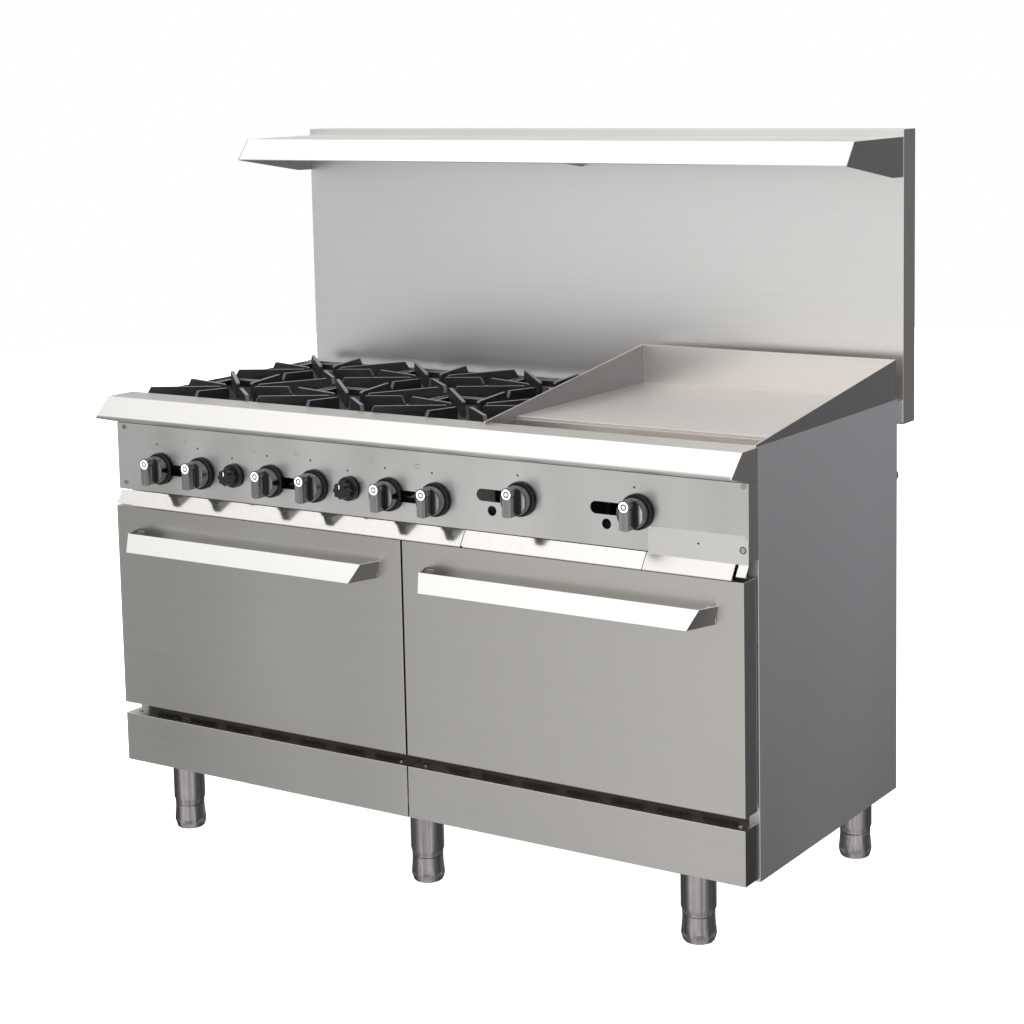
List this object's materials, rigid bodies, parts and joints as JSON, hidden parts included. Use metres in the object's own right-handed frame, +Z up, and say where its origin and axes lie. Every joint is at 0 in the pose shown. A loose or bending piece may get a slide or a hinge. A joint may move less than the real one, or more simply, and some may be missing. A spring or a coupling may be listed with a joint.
{
  "type": "commercial gas range",
  "caption": "Restaurant gas range with open burners under cast grates, a raised-edge griddle, two ovens with drop-down doors, and a backguard with a high shelf.",
  "frame": {"origin": "on the floor, under the middle of the whole range's box", "axes": "+X to the cook's right, -Y towards the cook, +Z up"},
  "size_m": [1.524, 0.8516, 1.497],
  "materials": {
    "stainless_front": "satin, brushed along its length",
    "stainless_bright": "brushed, bright",
    "stainless_side": "brushed upright, in shade",
    "stainless_guard": "satin",
    "griddle_steel": "ground and polished",
    "cast_iron": "matt, cast",
    "burner_iron": "matt, cast",
    "chrome_leg": "satin chrome",
    "galvanised": "aluminised sheet",
    "dark_frame": "dark",
    "enamel": "speckled porcelain enamel",
    "wool": "mineral wool",
    "rack_wire": "nickel plated wire",
    "gas_pipe": "black iron pipe",
    "aluminium_tube": "soft tube",
    "valve_brass": "machined",
    "hinge_steel": "zinc plated",
    "knob_graphite": "graphite, lightly brushed",
    "knob_black": "moulded"
  },
  "bodies": {
    "chassis": {"control_panel": "stainless_front", "left_kick_plate": "stainless_front", "right_kick_plate": "stainless_front", "tray_side_cover": "stainless_front", "front_rail": "stainless_bright", "left_side_panel": "stainless_side", "right_side_panel": "stainless_side", "backguard": "stainless_guard", "high_shelf": "stainless_guard", "shelf_brackets": "stainless_guard", "griddle_plate": "griddle_steel", "griddle_surround": "griddle_steel", "burner_heads": "burner_iron", "burner_bases": "burner_iron", "oven_burners": "burner_iron", "griddle_burners": "burner_iron", "leg_tubes": "chrome_leg", "leg_feet": "chrome_leg", "rear_panel": "galvanised", "base_frame": "galvanised", "cooktop_frame": "galvanised", "front_frame": "dark_frame", "left_oven_liner": "enamel", "right_oven_liner": "enamel", "oven_decks": "enamel", "oven_insulation": "wool", "rack_guides": "rack_wire", "gas_manifold": "gas_pipe", "oven_gas_lines": "aluminium_tube", "top_pilots": "aluminium_tube", "gas_valves": "valve_brass", "oven_thermostats": "valve_brass", "door_hinges": "hinge_steel", "screws": "hinge_steel"},
    "grate_front_left": {"grate_front_left": "cast_iron"},
    "grate_front_centre": {"grate_front_centre": "cast_iron"},
    "grate_front_right": {"grate_front_right": "cast_iron"},
    "grate_rear_left": {"grate_rear_left": "cast_iron"},
    "grate_rear_centre": {"grate_rear_centre": "cast_iron"},
    "grate_rear_right": {"grate_rear_right": "cast_iron"},
    "burner_knob_front_left": {"burner_knob_front_left": "knob_graphite"},
    "burner_knob_rear_left": {"burner_knob_rear_left": "knob_graphite"},
    "burner_knob_front_centre": {"burner_knob_front_centre": "knob_graphite"},
    "burner_knob_rear_centre": {"burner_knob_rear_centre": "knob_graphite"},
    "burner_knob_front_right": {"burner_knob_front_right": "knob_graphite"},
    "burner_knob_rear_right": {"burner_knob_rear_right": "knob_graphite"},
    "oven_knob_left": {"oven_knob_left": "knob_black"},
    "griddle_knob_left": {"griddle_knob_left": "knob_graphite"},
    "left_oven_rack": {"left_oven_rack": "rack_wire"},
    "left_door": {"left_door_skin": "stainless_front", "left_door_liner": "galvanised", "left_door_handle": "stainless_bright"},
    "oven_knob_right": {"oven_knob_right": "knob_black"},
    "griddle_knob_right": {"griddle_knob_right": "knob_graphite"},
    "right_oven_rack": {"right_oven_rack": "rack_wire"},
    "right_door": {"right_door_skin": "stainless_front", "right_door_liner": "galvanised", "right_door_handle": "stainless_bright"},
    "crumb_tray": {"crumb_tray": "stainless_bright"},
    "grease_tray": {"grease_tray": "stainless_bright"}
  },
  "joints": [
    {"name": "burner_knob_front_left_turn", "type": "hinge", "parent": "chassis", "child": "burner_knob_front_left", "pos_m": [-0.641, -0.35, 0.802], "axis": [0, -1, 0], "range_deg": [0, 180]},
    {"name": "burner_knob_rear_left_turn", "type": "hinge", "parent": "chassis", "child": "burner_knob_rear_left", "pos_m": [-0.527, -0.35, 0.802], "axis": [0, -1, 0], "range_deg": [0, 180]},
    {"name": "burner_knob_front_centre_turn", "type": "hinge", "parent": "chassis", "child": "burner_knob_front_centre", "pos_m": [-0.339, -0.35, 0.802], "axis": [0, -1, 0], "range_deg": [0, 180]},
    {"name": "burner_knob_rear_centre_turn", "type": "hinge", "parent": "chassis", "child": "burner_knob_rear_centre", "pos_m": [-0.225, -0.35, 0.802], "axis": [0, -1, 0], "range_deg": [0, 180]},
    {"name": "burner_knob_front_right_turn", "type": "hinge", "parent": "chassis", "child": "burner_knob_front_right", "pos_m": [-0.037, -0.35, 0.802], "axis": [0, -1, 0], "range_deg": [0, 180]},
    {"name": "burner_knob_rear_right_turn", "type": "hinge", "parent": "chassis", "child": "burner_knob_rear_right", "pos_m": [0.077, -0.35, 0.802], "axis": [0, -1, 0], "range_deg": [0, 180]},
    {"name": "oven_knob_left_turn", "type": "hinge", "parent": "chassis", "child": "oven_knob_left", "pos_m": [-0.437, -0.35, 0.805], "axis": [0, -1, 0], "range_deg": [0, 270]},
    {"name": "oven_knob_right_turn", "type": "hinge", "parent": "chassis", "child": "oven_knob_right", "pos_m": [-0.135, -0.35, 0.805], "axis": [0, -1, 0], "range_deg": [0, 270]},
    {"name": "griddle_knob_left_turn", "type": "hinge", "parent": "chassis", "child": "griddle_knob_left", "pos_m": [0.276, -0.35, 0.8215], "axis": [0, -1, 0], "range_deg": [0, 180]},
    {"name": "griddle_knob_right_turn", "type": "hinge", "parent": "chassis", "child": "griddle_knob_right", "pos_m": [0.5325, -0.35, 0.8215], "axis": [0, -1, 0], "range_deg": [0, 180]},
    {"name": "left_door_hinge", "type": "hinge", "parent": "chassis", "child": "left_door", "pos_m": [-0.3805, -0.337, 0.288], "axis": [1, 0, 0], "range_deg": [0, 90], "stiffness_Nm_per_rad": 2, "springref_deg": -57.3},
    {"name": "right_door_hinge", "type": "hinge", "parent": "chassis", "child": "right_door", "pos_m": [0.3805, -0.337, 0.288], "axis": [1, 0, 0], "range_deg": [0, 90], "stiffness_Nm_per_rad": 2, "springref_deg": -57.3},
    {"name": "crumb_tray_slide", "type": "slide", "parent": "chassis", "child": "crumb_tray", "axis": [0, -1, 0], "range_m": [0, 0.5]},
    {"name": "grease_tray_slide", "type": "slide", "parent": "chassis", "child": "grease_tray", "axis": [0, -1, 0], "range_m": [0, 0.33]},
    {"name": "grate_front_left_lift", "type": "slide", "parent": "chassis", "child": "grate_front_left", "axis": [0, 0, 1], "range_m": [0, 0.12]},
    {"name": "grate_front_centre_lift", "type": "slide", "parent": "chassis", "child": "grate_front_centre", "axis": [0, 0, 1], "range_m": [0, 0.12]},
    {"name": "grate_front_right_lift", "type": "slide", "parent": "chassis", "child": "grate_front_right", "axis": [0, 0, 1], "range_m": [0, 0.12]},
    {"name": "grate_rear_left_lift", "type": "slide", "parent": "chassis", "child": "grate_rear_left", "axis": [0, 0, 1], "range_m": [0, 0.12]},
    {"name": "grate_rear_centre_lift", "type": "slide", "parent": "chassis", "child": "grate_rear_centre", "axis": [0, 0, 1], "range_m": [0, 0.12]},
    {"name": "grate_rear_right_lift", "type": "slide", "parent": "chassis", "child": "grate_rear_right", "axis": [0, 0, 1], "range_m": [0, 0.12]},
    {"name": "left_oven_rack_slide", "type": "slide", "parent": "chassis", "child": "left_oven_rack", "axis": [0, -1, 0], "range_m": [0, 0.045]},
    {"name": "right_oven_rack_slide", "type": "slide", "parent": "chassis", "child": "right_oven_rack", "axis": [0, -1, 0], "range_m": [0, 0.045]}
  ]
}
